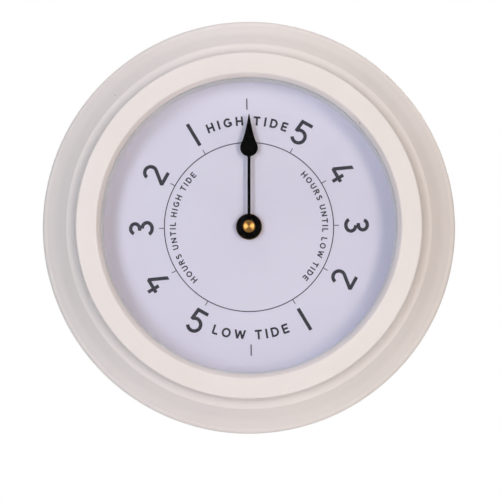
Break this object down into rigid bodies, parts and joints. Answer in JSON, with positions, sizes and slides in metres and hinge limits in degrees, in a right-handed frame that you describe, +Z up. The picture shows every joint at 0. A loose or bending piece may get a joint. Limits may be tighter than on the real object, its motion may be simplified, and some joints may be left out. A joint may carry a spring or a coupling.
{
  "type": "tide clock",
  "caption": "Round wall clock for tides with a stepped enamelled case, flat glass, a single drop-shaped hand on a plain dial and a quartz movement behind it.",
  "frame": {"origin": "on the wall plane, where the axis of the dial and the hand meets it", "axes": "+Y into the wall, so the dial faces -Y; +Z up; +X to the viewer's right"},
  "size_m": [0.205, 0.044, 0.205],
  "materials": {
    "enamel": "glossy cream enamel",
    "glass": "clear flat glass",
    "gasket_rubber": "matt black",
    "reveal_paint": "satin off-white",
    "dial_paint": "matt pale lavender",
    "cover_paint": "satin cream",
    "zinc_steel": "zinc plated",
    "hand_paint": "satin black",
    "brass": "turned",
    "housing_plastic": "fine-grained black",
    "plate_plastic": "natural white",
    "spring_steel": "rolled strip",
    "gear_plastic": "natural white",
    "knob_plastic": "satin grey",
    "magnet": "sintered, dark grey",
    "iron_plate": "stamped sheet",
    "copper_wire": "lacquered copper wire",
    "board": "green solder mask",
    "crystal_can": "drawn can",
    "chip_cover": "black epoxy",
    "contact_metal": "nickel plated strip",
    "cell_sleeve": "plain dark sleeve"
  },
  "bodies": {
    "case": {"case_bezel": "enamel", "case_drum": "enamel", "hanger_plate": "zinc_steel", "battery_tray": "housing_plastic", "glass_lens": "glass", "glass_gasket": "gasket_rubber", "reveal_ring": "reveal_paint", "dial_plate": "dial_paint", "rear_cover": "cover_paint", "cover_screws": "zinc_steel", "weld_nuts": "zinc_steel", "support_posts": "zinc_steel", "bush_nut": "brass", "bush_washer": "brass", "rubber_washer": "gasket_rubber", "movement_front_case": "housing_plastic", "movement_rear_case": "housing_plastic", "middle_plate": "plate_plastic", "stator_plate": "iron_plate", "coil_core": "iron_plate", "coil_bobbin": "plate_plastic", "coil_winding": "copper_wire", "circuit_board": "board", "quartz_crystal": "crystal_can", "timing_chip": "chip_cover", "contact_positive": "contact_metal", "contact_negative": "contact_metal"},
    "tide": {"tide_wheel": "brass", "tide_hand": "hand_paint", "hand_nut": "brass"},
    "cannon": {"cannon_arbor": "brass", "clutch_spring": "spring_steel"},
    "minute": {"minute_wheel": "gear_plastic"},
    "knob": {"set_knob": "knob_plastic", "setting_pinion": "gear_plastic"},
    "centre": {"centre_wheel": "gear_plastic"},
    "third": {"third_wheel": "gear_plastic"},
    "seconds": {"seconds_wheel": "gear_plastic"},
    "intermediate": {"intermediate_wheel": "gear_plastic"},
    "rotor": {"rotor_pinion": "gear_plastic", "rotor_magnet": "magnet"},
    "cell": {"battery": "cell_sleeve"}
  },
  "joints": [
    {"name": "tide_hand_turn", "type": "hinge", "parent": "case", "child": "tide", "pos_m": [0, 0, 0], "axis": [0, 1, 0], "continuous": true},
    {"name": "cannon_turn", "type": "hinge", "parent": "case", "child": "cannon", "pos_m": [0, 0, 0], "axis": [0, 1, 0], "continuous": true},
    {"name": "minute_turn", "type": "hinge", "parent": "case", "child": "minute", "pos_m": [-0.00693, 0, 0.004], "axis": [0, 1, 0], "continuous": true},
    {"name": "knob_turn", "type": "hinge", "parent": "case", "child": "knob", "pos_m": [-0.01493, 0, 0.004], "axis": [0, 1, 0], "continuous": true},
    {"name": "rotor_turn", "type": "hinge", "parent": "case", "child": "rotor", "pos_m": [0.01369, 0, 0.02059], "axis": [0, 1, 0], "continuous": true},
    {"name": "intermediate_turn", "type": "hinge", "parent": "case", "child": "intermediate", "pos_m": [0.0156, 0, 0.01533], "axis": [0, 1, 0], "continuous": true},
    {"name": "seconds_turn", "type": "hinge", "parent": "case", "child": "seconds", "pos_m": [0.01374, 0, 0.00838], "axis": [0, 1, 0], "continuous": true},
    {"name": "third_turn", "type": "hinge", "parent": "case", "child": "third", "pos_m": [0.00369, 0, 0.01015], "axis": [0, 1, 0], "continuous": true},
    {"name": "centre_turn", "type": "hinge", "parent": "case", "child": "centre", "pos_m": [0, 0, 0], "axis": [0, 1, 0], "continuous": true},
    {"name": "battery_slide", "type": "slide", "parent": "case", "child": "cell", "axis": [0, 1, 0], "range_m": [0, 0.025]}
  ],
  "couplings": [
    {"joint": "cannon_turn", "follows": "tide_hand_turn", "ratio": 12},
    {"joint": "minute_turn", "follows": "tide_hand_turn", "ratio": -4},
    {"joint": "knob_turn", "follows": "tide_hand_turn", "ratio": 12},
    {"joint": "intermediate_turn", "follows": "rotor_turn", "ratio": -0.16667},
    {"joint": "seconds_turn", "follows": "rotor_turn", "ratio": 0.033333},
    {"joint": "third_turn", "follows": "rotor_turn", "ratio": -0.0044444},
    {"joint": "centre_turn", "follows": "rotor_turn", "ratio": 0.00055556}
  ]
}
